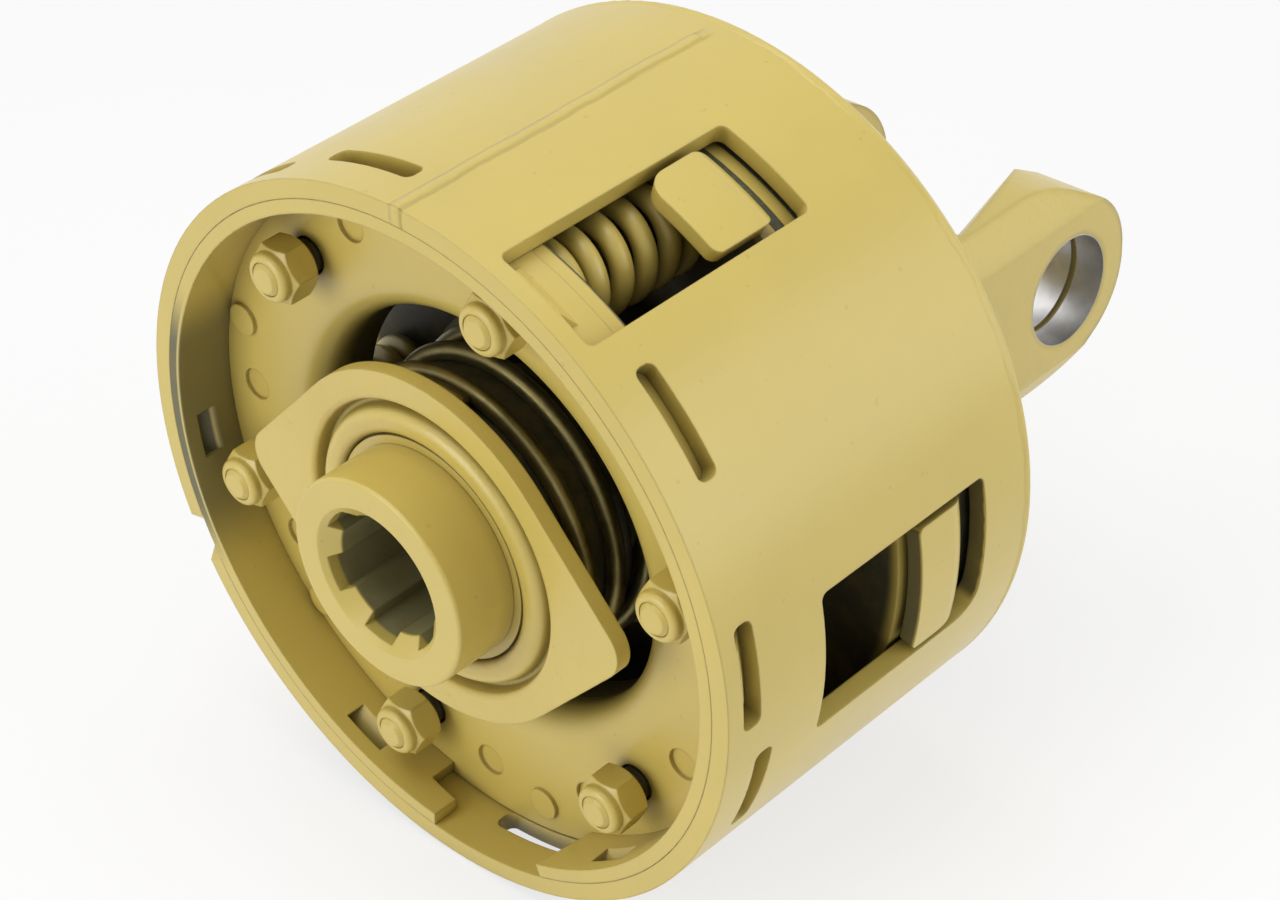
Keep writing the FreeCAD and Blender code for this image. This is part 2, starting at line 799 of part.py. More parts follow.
def tapered_block(near_half, far_half, front, rear, near, far):
    """Block across a sector that narrows outwards, given by its half angles at two distances."""
    slope = (math.tan(math.radians(far_half)) * far - math.tan(math.radians(near_half)) * near) / (far - near)
    sections = []
    for distance in (near - 2 * ring_wall, far + ring_wall):
        half = math.tan(math.radians(near_half)) * near + slope * (distance - near)
        corners = [(-half, front), (half, front), (half, rear), (-half, rear)]
        sections.append(outline(corners, lambda u, v, d=distance: Vector(d, v, u)))
    return Part.makeLoft(sections, True, True)


def stud_angles():
    """Angles of the studs, nuts and springs."""
    return [stud_angle + number * 360 / stud_count for number in range(stud_count)]


def stud_hole(angle, start, end, clearance):
    """Cutter for a stud's hole in a plate."""
    return Part.makeCylinder(
        stud_radius + clearance, end - start + 2, polar(stud_circle, start - 1, angle), Vector(0, 1, 0))


def make_front_plate():
    """Pressed plate that the springs bear on, with its opening drawn rearwards."""
    front = front_plate_front
    rear = front_plate_rear
    lip = front + opening_bend + opening_lip
    plate = revolved([
        (front_plate_radius, front),
        (opening_radius, front, opening_bend),
        (opening_radius, lip),
        (opening_radius + front_plate_thickness, lip),
        (opening_radius + front_plate_thickness, rear, opening_bend - front_plate_thickness),
        (front_plate_radius, rear)])
    holes = [stud_hole(angle, front, rear, stud_clearance) for angle in stud_angles()]
    dents = []
    bumps = []
    for angle in stud_angles():
        for side in (-1, 1):
            at = angle + side * sunk_pip_offset
            dents.append(pip(sunk_pip_circle, at, front - 1, front + pip_height))
            bumps.append(pip(sunk_pip_circle, at, rear, rear + pip_height))
        at = angle + 180 / stud_count
        dents.append(pip(raised_pip_circle, at, rear - pip_height, rear + 1))
        bumps.append(pip(raised_pip_circle, at, front - pip_height, front))
    return fused([plate] + bumps).cut(holes + dents)


def pip(circle, angle, start, end):
    """Short round boss or dent on the front plate."""
    return Part.makeCylinder(pip_radius, end - start, polar(circle, start, angle), Vector(0, 1, 0))


def make_stud(angle):
    """Stud fixed in the pressure plate that runs through its spring and the front plate."""
    start = rim + stud_front
    end = front_lining_front - stud_end_gap
    body = Part.makeCylinder(stud_radius, end - start - stud_chamfer, Vector(0, start + stud_chamfer, 0),
                             Vector(0, 1, 0))
    nose = Part.makeCone(stud_radius - stud_chamfer, stud_radius, stud_chamfer, Vector(0, start, 0),
                         Vector(0, 1, 0))
    stud = fused([body, nose])
    stud.translate(polar(stud_circle, 0, angle))
    return stud


def make_nut(angle):
    """Lock nut: hexagon with chamfered corners and a round collar that grips its insert."""
    hex_start = rim + nut_front
    hex_end = hex_start + nut_length
    collar_start = hex_start - nut_collar_length
    corner = nut_across_flats / 2 / math.cos(math.radians(30))
    prism = Part.Face(Part.makePolygon([polar(corner, hex_start, 60 * side) for side in range(7)]))
    prism = prism.extrude(Vector(0, nut_length, 0))
    cap = revolved([
        (0, hex_start),
        (nut_across_flats / 2 - nut_face_inset, hex_start),
        (corner, hex_start + nut_chamfer),
        (corner, hex_end - nut_chamfer),
        (nut_across_flats / 2 - nut_face_inset, hex_end),
        (0, hex_end)])
    collar = revolved([
        (0, collar_start),
        (nut_collar_radius, collar_start, nut_collar_round),
        (nut_collar_radius, hex_start),
        (0, hex_start)])
    bore = disc(stud_radius + thread_clearance, collar_start - 1, hex_end + 1)
    pocket_start = collar_start + insert_inset
    pocket = disc(stud_radius + insert_wall, pocket_start, pocket_start + insert_length)
    nut = fused([prism.common(cap), collar]).cut(fused([bore, pocket]))
    nut.translate(polar(stud_circle, 0, angle))
    return nut


def make_nut_insert(angle):
    """Nylon ring in the nut's collar."""
    start = rim + nut_front - nut_collar_length + insert_inset
    insert = ring(stud_radius + insert_wall, stud_radius + thread_clearance, start, start + insert_length)
    insert.translate(polar(stud_circle, 0, angle))
    return insert


def make_spring(angle):
    """Heavy compression spring round a stud."""
    spring = coil(spring_radius, spring_wire_radius, front_plate_rear, pressure_plate_front, spring_turns,
                  spring_first_angle, spring_steps)
    spring.translate(polar(stud_circle, 0, angle))
    return spring


def make_hub_bush():
    """Bush pressed into the flange round the hub's rear collar."""
    start = hub_rear - hub_collar_thickness + bush_inset
    return ring(recess_radius, hub_collar_radius + bush_fit, start, recess_floor)


def make_thrust_washer():
    """Washer between the hub's rear end and the floor of the recess."""
    return ring(hub_collar_radius - thrust_washer_inset, spline_major_radius + thrust_washer_bore_gap,
                recess_floor - thrust_washer_thickness, recess_floor)


def make_hub_circlip():
    """Circlip in the flange that keeps the hub's rear collar in its recess."""
    start = flange_face + circlip_place
    return open_ring(
        circlip_outer_radius, circlip_inner_radius, start, start + circlip_thickness, circlip_gap, 90)


def write(name, shape):
    """Save one sub-part as a single solid."""
    solid = shape.Solids[0] if len(shape.Solids) == 1 else shape
    print(name, "valid" if shape.isValid() else "BROKEN", "solids", len(shape.Solids),
          "volume", round(shape.Volume))
    solid.exportStep("parts/" + name + ".step")


def main():
    os.makedirs("parts", exist_ok=True)
    write("drum_shell", make_drum_shell())
    write("rear_flange", make_rear_flange())
    write("yoke", make_yoke())
    write("setting_ring", make_setting_ring())
    write("front_plate", make_front_plate())
    write("pressure_plate", make_pressure_plate())
    write("driver_plate", make_driver_plate())
    write("front_inner_plate", make_inner_plate(front_inner_plate_front))
    write("rear_inner_plate", make_inner_plate(rear_plate_front))
    lining_fronts = (
        front_lining_front, middle_front_lining_front, middle_rear_lining_front, rear_lining_front)
    for number, front in enumerate(lining_fronts, start=1):
        write("lining_%d" % number, ring(lining_outer_radius, lining_inner_radius, front,
                                         front + lining_thickness))
    write("hub", make_hub())
    write("hub_bush", make_hub_bush())
    write("hub_circlip", make_hub_circlip())
    write("thrust_washer", make_thrust_washer())
    write("pull_collar", make_pull_collar())
    write("collar_spring", make_collar_spring())
    write("spring_seat", make_spring_seat())
    write("snap_ring", make_snap_ring())
    for number, angle in enumerate(ball_angles(), start=1):
        write("locking_ball_%d" % number, make_locking_ball(angle))
    for number, angle in enumerate(stud_angles(), start=1):
        write("stud_%d" % number, make_stud(angle))
        write("lock_nut_%d" % number, make_nut(angle))
        write("nut_insert_%d" % number, make_nut_insert(angle))
        write("spring_%d" % number, make_spring(angle))


main()
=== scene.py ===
import math

import bmesh
import bpy
from bpy.props import FloatProperty, FloatVectorProperty, IntProperty, PointerProperty
from mathutils import Matrix, Vector


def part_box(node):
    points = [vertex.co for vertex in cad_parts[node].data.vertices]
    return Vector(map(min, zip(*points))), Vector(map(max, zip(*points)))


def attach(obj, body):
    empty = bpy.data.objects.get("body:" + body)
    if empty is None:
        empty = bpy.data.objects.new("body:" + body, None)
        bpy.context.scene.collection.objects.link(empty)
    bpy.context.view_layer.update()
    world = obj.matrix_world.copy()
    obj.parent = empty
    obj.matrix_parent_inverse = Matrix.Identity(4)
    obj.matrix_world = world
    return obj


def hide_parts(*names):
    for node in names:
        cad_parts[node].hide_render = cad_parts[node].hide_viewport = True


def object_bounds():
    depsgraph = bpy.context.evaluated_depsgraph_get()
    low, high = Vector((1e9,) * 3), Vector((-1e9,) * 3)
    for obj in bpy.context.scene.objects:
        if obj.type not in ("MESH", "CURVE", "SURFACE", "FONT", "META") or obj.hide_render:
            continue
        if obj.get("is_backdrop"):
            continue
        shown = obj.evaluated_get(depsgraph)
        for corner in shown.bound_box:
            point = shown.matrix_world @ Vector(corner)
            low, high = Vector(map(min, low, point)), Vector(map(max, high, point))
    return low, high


bl_info = {
    "name": "Friction Slip Clutch",
    "version": (1, 0, 0),
    "blender": (4, 5, 0),
    "location": "View3D > Sidebar > Clutch",
    "description": "Painted finish, springs, threads and stage for a friction slip clutch",
    "category": "Object",
}

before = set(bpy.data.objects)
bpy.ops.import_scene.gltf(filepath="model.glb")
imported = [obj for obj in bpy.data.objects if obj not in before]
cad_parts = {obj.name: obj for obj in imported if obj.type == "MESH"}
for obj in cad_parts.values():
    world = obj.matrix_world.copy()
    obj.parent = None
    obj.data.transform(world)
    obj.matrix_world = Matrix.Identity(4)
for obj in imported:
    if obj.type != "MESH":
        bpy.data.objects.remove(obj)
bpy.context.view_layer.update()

# The clutch axis is Y. The hub's front face is at zero and the yoke points to +Y.
AXIS = Vector((0, 1, 0))
MM = 0.001
SPRINGS = 6
rim_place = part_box("drum_shell")[0][1]


def band(start, end):
    """Metres, from millimetres, over which one finish gives way to the next."""
    return start * MM, end * MM


# Where finishes change along the axis, in millimetres behind the drum's rim
INSIDE_START = band(17, 22)
REAR_WALL_START = band(83.8, 85.2)
REAR_WALL_END = band(88, 89)
PLATE_REAR = band(18.3, 19.0)
LIP_REAR = band(20, 25.5)
HUB_REAR = band(18, 34)
SLEEVE_START = band(6, 12)
THREAD_START = band(12.2, 12.8)
SPRING_REAR = band(57, 59)
SEAM_END = band(92, 98)
REAR_WELD_PLACE = 101.5 * MM

# The splined bore turns bare this far behind the hub's front face
BORE_START = band(3.7, 4.6)

# A driver lug is scaly over this much behind its own front
LUG_EDGE = band(0.25, 0.6)

# Where finishes change outwards, in millimetres from the clutch axis
SHELL_INSIDE = band(84.6, 85.9)
SHELL_SKIN = band(89.1, 89.7)
LUG_FOOT = band(81, 85)
LUG_TIP = band(89.2, 89.8)
DISC_FACE = band(78, 80.5)
LIP_OUTSIDE = band(56, 60)
SPLINE_BORE = band(17.7, 18.2)
SPRING_INNER_SIDE = band(62, 67)
RING_SKIN = band(82.1, 82.6)
RING_LOUVRE = band(82.6, 83.2)

# Where the weld seam runs, and from where the setting ring's inside gets painted shade, in degrees
SEAM_ANGLE = 87.7
SHADED_RING_SIDE = (150.0, 165.0)

# Yoke's machined bore
CROSS_BEHIND_RIM = 173.5 * MM
CROSS_BORE_RADIUS = 14.45 * MM

# Paint: how narrow a corner is that gets painted shade, how wide a gap turns dark with bare steel and
# painted shade, its coat and its skin
CORNER_SHADE_DISTANCE = 7 * MM
GAP_DISTANCE = 50 * MM
PAINT_COAT = 0.3
PEEL_HEIGHT = 0.04 * MM
SAG_HEIGHT = 0.12 * MM

# Bare metals and nylon
DRIVER_STEEL = (0.075, 0.075, 0.045)
HUB_STEEL = (0.24, 0.22, 0.10)
RING_SHADE_COLOUR = (0.10, 0.10, 0.055)
# Colour of the painted shade on the setting ring's inside
PLATE_STEEL = (0.13, 0.115, 0.07)
THREAD_STEEL = (0.03, 0.028, 0.025)
BUSH_BRONZE = (0.45, 0.26, 0.09)
NYLON_DARK = (0.62, 0.55, 0.30)
NYLON_PALE = (0.70, 0.66, 0.50)

# Springs: a closed turn's rise and the ground end, in wire radii, and where the wire starts
CLOSED_RISE = 2.06
GROUND_END = 0.7
HEAVY_SPRING_START = math.radians(290)
COLLAR_SPRING_START = math.radians(80)
COLLAR_SPRING_STEPS = 72

# Thread: foot, crest and foot again as shares of the pitch, and its measures
THREAD_PROFILE = (0.38, 0.52, 0.9)
THREAD_DEPTH = 0.6 * MM
THREAD_ABOVE_STUD = 0.05 * MM
THREAD_BEHIND_NUT = 0.1 * MM
THREAD_REACH = 9 * MM

# Front plate's lip: how far it starts inside the plate, and its faces round the opening
LIP_SUNK = 1 * MM
LIP_STEPS = 120

# Stage
FLOOR_HALF = 4.0
FLOOR_GAP = 0.5 * MM
FLOOR_GLOW = 0.72
WORLD_LIGHT = 0.33
LAMP_AIM = (0.0, 0.06, 0.0)
LAMPS = (
    ("top_light", (-0.15, 0.0, 1.1), 1.0, 8.4),
    ("left_front_light", (-0.35, -1.35, 0.4), 0.9, 9.8),
    ("right_rear_light", (1.0, 0.55, 0.35), 0.9, 5.0),
)
CAMERA_LENS = 88.6
CAMERA_PLACE = Vector((0.43102, -0.34463, 0.41636))
CAMERA_AIM = Vector((0.01162, 0.07250, 0.00082))
CAMERA_ROLL = math.radians(-3.889)


def middle(node):
    """Centre of a CAD node's box."""
    low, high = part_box(node)
    return (Vector(low) + Vector(high)) / 2


def axis_span(node):
    """Where a CAD node starts and ends along the clutch axis."""
    low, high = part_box(node)
    return low[1], high[1]


def half_width(node):
    """Half of a CAD node's width across the clutch axis."""
    low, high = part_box(node)
    return (high[0] - low[0]) / 2


# Materials


def opaque(colour, gain=1.0, lift=0.0):
    """A colour for a socket, made paler or darker."""
    return tuple(min(channel * gain + lift, 1.0) for channel in colour) + (1.0,)


class Value:
    """A number in a shader: sums with it add the Math nodes that work it out."""

    def __init__(self, shader, socket):
        self.shader = shader
        self.socket = socket

    def _sum(self, operation, first, second):
        return self.shader.node("ShaderNodeMath", {"operation": operation}, {0: first, 1: second})[0]

    def __add__(self, other):
        return self._sum("ADD", self, other)

    def __radd__(self, other):
        return self._sum("ADD", other, self)

    def __sub__(self, other):
        return self._sum("SUBTRACT", self, other)

    def __rsub__(self, other):
        return self._sum("SUBTRACT", other, self)

    def __mul__(self, other):
        return self._sum("MULTIPLY", self, other)

    def __rmul__(self, other):
        return self._sum("MULTIPLY", other, self)

    def __pow__(self, other):
        return self._sum("POWER", self, other)


class Outputs:
    """A node's outputs, by number or name."""

    def __init__(self, shader, node):
        self.shader = shader
        self.node = node

    def __getitem__(self, key):
        return Value(self.shader, self.node.outputs[key])


class Shader:
    """One material's nodes."""

    def __init__(self, material):
        self.material = material
        self.tree = material.node_tree
        self.position = self.node("ShaderNodeTexCoord")["Object"]

    @classmethod
    def new(cls, name):
        """The nodes of a new material."""
        material = bpy.data.materials.new(name)
        material.use_nodes = True
        material.node_tree.nodes.clear()
        return cls(material)

    def node(self, kind, settings=None, inputs=None):
        """Adds a node with its settings, then its sockets' values or links."""
        node = self.tree.nodes.new(kind)
        for key, value in (settings or {}).items():
            if key == "stops":
                self._set_stops(node.color_ramp, value)
            else:
                setattr(node, key, value)
        for key, value in (inputs or {}).items():
            if isinstance(value, Value):
                self.tree.links.new(value.socket, node.inputs[key])
            else:
                node.inputs[key].default_value = value
        return Outputs(self, node)

    def _set_stops(self, ramp, stops):
        while len(ramp.elements) < len(stops):
            ramp.elements.new(1.0)
        for element, (place, colour) in zip(ramp.elements, stops):
            element.position = place
            element.color = colour

    def noise(self, scale, detail=3.0, roughness=0.55, where=None):
        """Cloudy pattern between 0 and 1, with a scale in features per metre."""
        return self.node("ShaderNodeTexNoise", None, {
            "Vector": where or self.position, "Scale": scale, "Detail": detail, "Roughness": roughness})[0]

    def ramp(self, factor, stops):
        """Value through a ramp of (place, shade) stops."""
        colours = [(place, (shade, shade, shade, 1.0)) for place, shade in stops]
        return self.node("ShaderNodeValToRGB", {"stops": colours}, {0: factor})[0]

    def mix(self, factor, first, second):
        """Colour between two colours."""
        return self.node("ShaderNodeMix", {"data_type": "RGBA"}, {0: factor, 6: first, 7: second})[2]

    def hidden(self, distance):
        """1 in corners and gaps closer than a distance, 0 in the open."""
        open_share = self.node("ShaderNodeAmbientOcclusion", {"samples": 6}, {"Distance": distance})["AO"]
        return 1 - open_share

    def rounded(self, radius):
        """Normal with the edges softened, as a coat of paint leaves them."""
        return self.node("ShaderNodeBevel", {"samples": 4}, {"Radius": radius})[0]

    def bump(self, height, distance, strength=1.0, normal=None):
        """Normal with a relief of a height in metres."""
        inputs = {"Height": height, "Distance": distance, "Strength": strength}
        if normal:
            inputs["Normal"] = normal
        return self.node("ShaderNodeBump", None, inputs)[0]

    def separate(self):
        """X, Y and Z of the position in metres."""
        parts = self.node("ShaderNodeSeparateXYZ", None, {0: self.position})
        return parts["X"], parts["Y"], parts["Z"]

    def polar(self):
        """Distance from the clutch axis, place behind the drum's rim and angle in degrees."""
        across, along, up = self.separate()
        turn = self.node("ShaderNodeMath", {"operation": "ARCTAN2"}, {0: up, 1: across})[0]
        return (across * across + up * up) ** 0.5, along - rim_place, turn * (180 / math.pi)

    def larger(self, first, second):
        """The larger of two values."""
        return self.node("ShaderNodeMath", {"operation": "MAXIMUM"}, {0: first, 1: second})[0]

    def rise(self, value, start, end):
        """0 below a start, 1 above an end, with a smooth step between."""
        return self.node("ShaderNodeMapRange", {"interpolation_type": "SMOOTHSTEP"}, {
            "Value": value, "From Min": start, "From Max": end})["Result"]

    def fall(self, value, start, end):
        """1 below a start, 0 above an end, with a smooth step between."""
        return 1 - self.rise(value, start, end)

    def finish(self, **sockets):
        """Principled shader from named sockets, as the material's surface."""
        inputs = {name.replace("_", " "): value for name, value in sockets.items()}
        surface = self.node("ShaderNodeBsdfPrincipled", None, inputs)
        return self.surface(surface[0])

    def surface(self, shader):
        """Ends the material with a shader."""
        self.node("ShaderNodeOutputMaterial", None, {"Surface": shader})
        return self.material


def paint_material(finish, name, bare=None, relief=None, reach=0.8, metal=None, edge=0.7 * MM):
    """Thick dull yellow paint: soft edges, faint orange peel, painted shade in corners and small chips.

    The bare function gives the share of dark bare steel and painted shade, 0 to 1, and the relief function
    adds a height in metres to the skin. The reach says how dark deep gaps turn, with bare steel and painted
    shade, and the edge is the radius to which corners look rounded.
    """
    shader = Shader.new(name)
    base = opaque(finish.paint_color)
    light = opaque(finish.paint_color, 1.06)
    shade = opaque(finish.shade_and_grime_color)
    steel = opaque(metal or finish.bare_and_shade_color)
    cloud = shader.ramp(shader.noise(22, 4), [(0.35, 0.0), (0.7, 1.0)])
    colour = shader.mix(cloud, base, light)
    # Painted shade: narrow corners darken towards the shade colour by ambient occlusion
    corner = shader.ramp(shader.hidden(CORNER_SHADE_DISTANCE), [(0.30, 0.0), (0.90, 1.0)])
    colour = shader.mix(corner * 0.6, colour, shade)
    speck = shader.ramp(shader.noise(420, 1, 0.4), [(0.755, 0.0), (0.79, 1.0)])
    colour = shader.mix(speck * 0.15, colour, shade)
    # Deep gaps turn dark by ambient occlusion: bare steel where the spray missed, and painted shade
    deep = shader.ramp(shader.hidden(GAP_DISTANCE), [(0.72, 0.0), (0.97, 1.0)])
    bare_and_shaded = deep * reach
    if bare:
        bare_and_shaded = shader.larger(bare(shader), bare_and_shaded)
    bare_and_shade_tone = shader.mix(shader.ramp(shader.noise(140, 4, 0.7), [(0.45, 0.0), (0.8, 0.5)]), steel, shade)
    colour = shader.mix(bare_and_shaded, colour, bare_and_shade_tone)
    height = shader.noise(650, 2, 0.5) * PEEL_HEIGHT + shader.noise(55, 2, 0.4) * SAG_HEIGHT
    if relief:
        height = height + relief(shader)
    normal = shader.bump(height, 1.0, 0.7, shader.rounded(edge))
    roughness = shader.ramp(shader.noise(45, 3), [(0.3, 0.33), (0.75, 0.43)])
    return shader.finish(
        Base_Color=colour, Roughness=roughness + bare_and_shaded * 0.15, Normal=normal,
        Coat_Weight=PAINT_COAT * (1 - bare_and_shaded), Coat_Roughness=0.28, Specular_IOR_Level=0.5)


def drum_bare_and_shade(shader):
    """Bare steel and painted shade inside the drum behind the front plate, and the scaly rear wall of the
    rear windows.
    """
    radius, behind, _ = shader.polar()
    # Painted shade: the drum's inside behind the front plate turns dark, partly as bare steel
    inside = shader.rise(behind, *INSIDE_START) * shader.fall(radius, *SHELL_INSIDE)
    ragged = radius + (shader.noise(300, 3) - 0.5) * 1.2 * MM
    wall = shader.fall(ragged, *SHELL_SKIN)
    wall = wall * shader.rise(behind, *REAR_WALL_START) * shader.fall(behind, *REAR_WALL_END)
    return shader.larger(inside, wall * 0.85)


def bare_driver_lugs(shader):
    """The driver plate away from its lugs, and the scaly front edge of each lug."""
    radius, behind, _ = shader.polar()
    body = shader.fall(radius, *LUG_FOOT)
    front = axis_span("driver_plate")[0] - rim_place
    edge = shader.fall(behind, front + LUG_EDGE[0], front + LUG_EDGE[1])
    edge = edge * shader.fall(radius, *LUG_TIP)
    return shader.larger(body, edge * 0.85)


def bare_disc(shader):
    """A disc's faces, inside the sprayed strip round its rim."""
    radius, _, _ = shader.polar()
    return shader.fall(radius, *DISC_FACE)


def bare_off_lugs(shader):
    """A lugged plate away from its lugs."""
    radius, _, _ = shader.polar()
    return shader.fall(radius, *LUG_FOOT)


def bare_behind_plate(shader):
    """The rear of the front plate and the inner end of its drawn opening."""
    radius, behind, _ = shader.polar()
    rear = shader.rise(behind, *PLATE_REAR) * shader.rise(radius, *LIP_OUTSIDE)
    lip = shader.rise(behind, *LIP_REAR) * shader.fall(radius, *LIP_OUTSIDE)
    return rear + lip * 0.8


def bare_in_hub(shader):
    """The hub's splined bore behind its mouth, and its rear part inside the drum."""
    radius, behind, _ = shader.polar()
    bore = shader.fall(radius, *SPLINE_BORE) * shader.rise(behind + rim_place, *BORE_START)
    return shader.larger(bore, shader.rise(behind, *HUB_REAR))


def bare_collar_sleeve(shader):
    """The pull collar's sleeve behind its plate."""
    _, behind, _ = shader.polar()
    return shader.rise(behind, *SLEEVE_START)


def bare_thread(shader):
    """A stud behind its nut, down to the front plate and beyond."""
    _, behind, _ = shader.polar()
    ragged = behind + shader.noise(400, 2) * 1.5 * MM
    return shader.rise(ragged, *THREAD_START)


def spring_bare_side_and_shade(shader):
    """The bare side of a heavy spring that faces the axis, and painted shade at its rear end."""
    radius, behind, _ = shader.polar()
    ragged = radius + shader.noise(150, 3) * 4 * MM
    inner = shader.fall(ragged, *SPRING_INNER_SIDE) * 0.8
    # Painted shade: the spring darkens towards its rear end
    return shader.larger(inner, shader.rise(behind, *SPRING_REAR) * 0.85)


def ring_painted_shade(shader):
    """Painted shade on the setting ring's inside on its -X side, where little light falls, darkest in its
    louvres.
    """
    radius, _, turn = shader.polar()
    side = shader.rise(turn * turn, SHADED_RING_SIDE[0] ** 2, SHADED_RING_SIDE[1] ** 2)
    skin = shader.fall(radius, *RING_SKIN) * 0.75
    louvre = shader.rise(radius, *RING_LOUVRE) * 0.95
    return side * (skin + louvre)


def weld_relief(shader):
    """Wavy raised weld seam along the drum and the uneven weld round its rear end."""
    _, behind, turn = shader.polar()
    wave = (shader.noise(60, 3) - 0.5) * 1.6
    across = turn - SEAM_ANGLE + wave
    seam = shader.fall(across * across, 0.05, 1.9) * shader.fall(behind, *SEAM_END)
    round_end = (behind - REAR_WELD_PLACE) * 1000 + (shader.noise(90, 3) - 0.5) * 3
    ring = shader.fall(round_end * round_end, 0.3, 5.0)
    return (seam * 1.3 + ring * 0.45) * MM


def forged_relief(shader):
    """Scaly skin of a forging."""
    dents = shader.ramp(shader.noise(130, 4, 0.6), [(0.35, 0.0), (0.65, 1.0)])
    return dents * 0.18 * MM


def yoke_material(finish):
    """Yoke's paint, which stops at its machined bore along X."""
    painted = paint_material(finish, "yoke_paint", relief=forged_relief, edge=3.5 * MM)
    tree = painted.node_tree
    surface = next(node for node in tree.nodes if node.type == "BSDF_PRINCIPLED")
    ending = next(node for node in tree.nodes if node.type == "OUTPUT_MATERIAL")
    shader = Shader(painted)
    _, along, up = shader.separate()
    distance = ((along - (rim_place + CROSS_BEHIND_RIM)) ** 2.0 + up ** 2.0) ** 0.5
    inside = shader.node("ShaderNodeMath", {"operation": "LESS_THAN"}, {
        0: distance, 1: CROSS_BORE_RADIUS})[0]
    rings = shader.node("ShaderNodeTexNoise", None, {
        "Vector": shader.node("ShaderNodeMapping", None, {
            "Vector": shader.position, "Scale": (2600.0, 60.0, 60.0)})[0],
        "Scale": 1.0, "Detail": 2.0})[0]
    dark = opaque(finish.steel_color, 0.5)
    steel = opaque(finish.steel_color, 1.1)
    colour = shader.mix(shader.ramp(shader.noise(70, 3), [(0.3, 0.0), (0.7, 1.0)]), dark, steel)
    machined = shader.node("ShaderNodeBsdfPrincipled", None, {
        "Base Color": colour, "Metallic": 0.85, "Roughness": 0.42,
        "Normal": shader.bump(rings, 0.04 * MM, 0.5)})[0]
    either = shader.node("ShaderNodeMixShader", None, {
        0: inside, 1: Value(shader, surface.outputs[0]), 2: machined})[0]
    tree.links.new(either.socket, ending.inputs["Surface"])
    return painted


def lining_material(finish):
    """Friction lining: dark grey-green resin with short pale fibres."""
    shader = Shader.new("clutch_lining")
    flecks = shader.ramp(shader.noise(900, 4, 0.7), [(0.55, 0.0), (0.72, 1.0)])
    smear = shader.ramp(shader.noise(120, 3), [(0.45, 0.0), (0.8, 0.7)])
    colour = shader.mix(flecks, opaque(finish.lining_color), opaque(finish.lining_color, 2.4, 0.02))
    colour = shader.mix(smear, colour, opaque(finish.lining_color, 0.5))
    return shader.finish(Base_Color=colour, Roughness=0.85,
                         Normal=shader.bump(shader.noise(700, 4, 0.7), 0.4 * MM, 0.8))


def steel_material(name, colour, roughness, grain=300.0):
    """Bare or oiled steel with a fine uneven skin."""
    shader = Shader.new(name)
    patch = shader.ramp(shader.noise(90, 4), [(0.35, 0.0), (0.75, 1.0)])
    return shader.finish(
        Base_Color=shader.mix(patch, opaque(colour), opaque(colour, 0.55)), Metallic=0.85,
        Roughness=shader.ramp(shader.noise(grain, 3), [(0.2, roughness - 0.08), (0.8, roughness + 0.12)]),
        Normal=shader.bump(shader.noise(grain * 2, 3), 0.08 * MM, 0.6, shader.rounded(0.4 * MM)))


def nylon_material():
    """Pale nylon of the lock nuts' inserts."""
    shader = Shader.new("clutch_nylon")
    colour = shader.mix(shader.noise(150, 2), opaque(NYLON_DARK), opaque(NYLON_PALE))
    return shader.finish(Base_Color=colour, Roughness=0.5, Normal=shader.rounded(0.3 * MM))


# Shapes


def new_piece(name, mesh_data, material, body, replaces=()):
    """Finishes a bmesh as a piece of the clutch that rides on a body."""
    mesh = bpy.data.meshes.new(name)
    bmesh.ops.recalc_face_normals(mesh_data, faces=mesh_data.faces)
    mesh_data.to_mesh(mesh)
    mesh_data.free()
    mesh.polygons.foreach_set("use_smooth", [True] * len(mesh.polygons))
    piece = bpy.data.objects.new(name, mesh)
    bpy.context.scene.collection.objects.link(piece)
    mesh.materials.append(material)
    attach(piece, body)
    if replaces:
        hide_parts(*replaces)
    return piece


def wound_spring(mesh, centre, radius, wire_radius, span, turns, first_angle, sides=16, steps=40):
    """Adds a compression spring with closed ends, wound about a line along Y."""
    start, end = span
    closed_rise = CLOSED_RISE * wire_radius
    low = start + wire_radius * GROUND_END
    high = end - wire_radius * GROUND_END
    open_turns = turns - 2
    open_rise = (high - low - 2 * closed_rise) / open_turns
    across = Vector((math.cos(first_angle), 0, math.sin(first_angle)))
    place = Matrix.Translation(centre + across * radius + AXIS * (low - centre.y))
    upright = Matrix.Rotation(-first_angle, 4, "Y")
    section = bmesh.ops.create_circle(mesh, segments=sides, radius=wire_radius, cap_ends=True,
                                      matrix=place @ upright)
    geometry = section["verts"] + list({edge for vert in section["verts"] for edge in vert.link_edges})
    geometry += list({face for vert in section["verts"] for face in vert.link_faces})
    for part_turns, rise in ((1.0, closed_rise), (open_turns, open_rise), (1.0, closed_rise)):
        count = int(round(part_turns * steps))
        step = AXIS * (rise * part_turns / count)
        swept = bmesh.ops.spin(mesh, geom=geometry, cent=centre, axis=-AXIS, dvec=step,
                               angle=math.tau * part_turns, steps=count, use_duplicate=False)
        geometry = swept["geom_last"]


def flatten_ends(mesh, span):
    """Grinds a spring's ends flat at both ends of its span."""
    for place, outward in ((span[0], -AXIS), (span[1], AXIS)):
        geometry = mesh.verts[:] + mesh.edges[:] + mesh.faces[:]
        cut = bmesh.ops.bisect_plane(mesh, geom=geometry, plane_co=AXIS * place, plane_no=outward,
                                     clear_outer=True)
        edges = [item for item in cut["geom_cut"] if isinstance(item, bmesh.types.BMEdge)]
        bmesh.ops.holes_fill(mesh, edges=edges)


